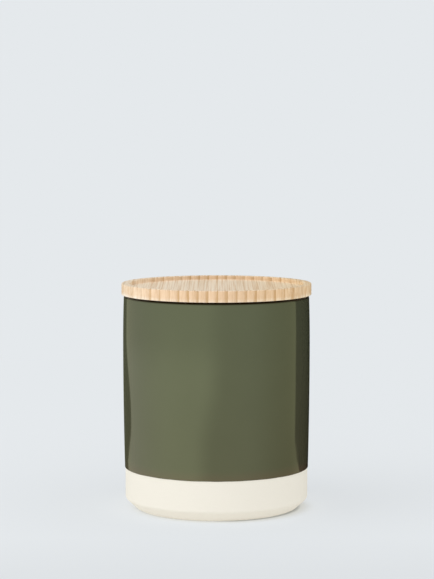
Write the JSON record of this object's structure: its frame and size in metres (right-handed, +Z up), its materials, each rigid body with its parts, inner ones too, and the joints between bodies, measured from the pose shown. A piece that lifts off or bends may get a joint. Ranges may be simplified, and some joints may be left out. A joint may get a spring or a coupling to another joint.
{
  "type": "lidded storage jar",
  "caption": "Round stoneware storage jar, glazed down to a bare clay band at the foot, with a turned bamboo lid that has a shallow tray top and a plug sealed with silicone.",
  "frame": {"origin": "middle of the foot ring's resting plane, on the jar's axis", "axes": "+Z up along the jar's axis; +Y along the lid's strips, away from the picture's camera; +X to its right"},
  "size_m": [0.12, 0.12, 0.1426],
  "materials": {
    "stoneware": "matt unglazed",
    "olive_glaze": "gloss",
    "liner_glaze": "gloss",
    "bamboo": "sanded and oiled",
    "silicone": "satin translucent"
  },
  "bodies": {
    "jar": {"stoneware_pot": "stoneware", "olive_glaze": "olive_glaze", "liner_glaze": "liner_glaze"},
    "seal": {"seal_ring": "silicone"},
    "lid": {"lid_strip_01": "bamboo", "lid_strip_02": "bamboo", "lid_strip_03": "bamboo", "lid_strip_04": "bamboo", "lid_strip_05": "bamboo", "lid_strip_06": "bamboo", "lid_strip_07": "bamboo", "lid_strip_08": "bamboo", "lid_strip_09": "bamboo", "lid_strip_10": "bamboo", "lid_strip_11": "bamboo", "lid_strip_12": "bamboo", "lid_strip_13": "bamboo", "lid_strip_14": "bamboo", "lid_strip_15": "bamboo", "lid_strip_16": "bamboo", "lid_strip_17": "bamboo", "lid_strip_18": "bamboo", "lid_strip_19": "bamboo", "lid_strip_20": "bamboo", "lid_strip_21": "bamboo"}
  },
  "joints": [
    {"name": "lid_lift", "type": "slide", "parent": "jar", "child": "seal", "axis": [0, 0, 1], "range_m": [0, 0.12]},
    {"name": "lid_turn", "type": "hinge", "parent": "seal", "child": "lid", "pos_m": [0, 0, 0.1308], "axis": [0, 0, 1], "continuous": true}
  ]
}
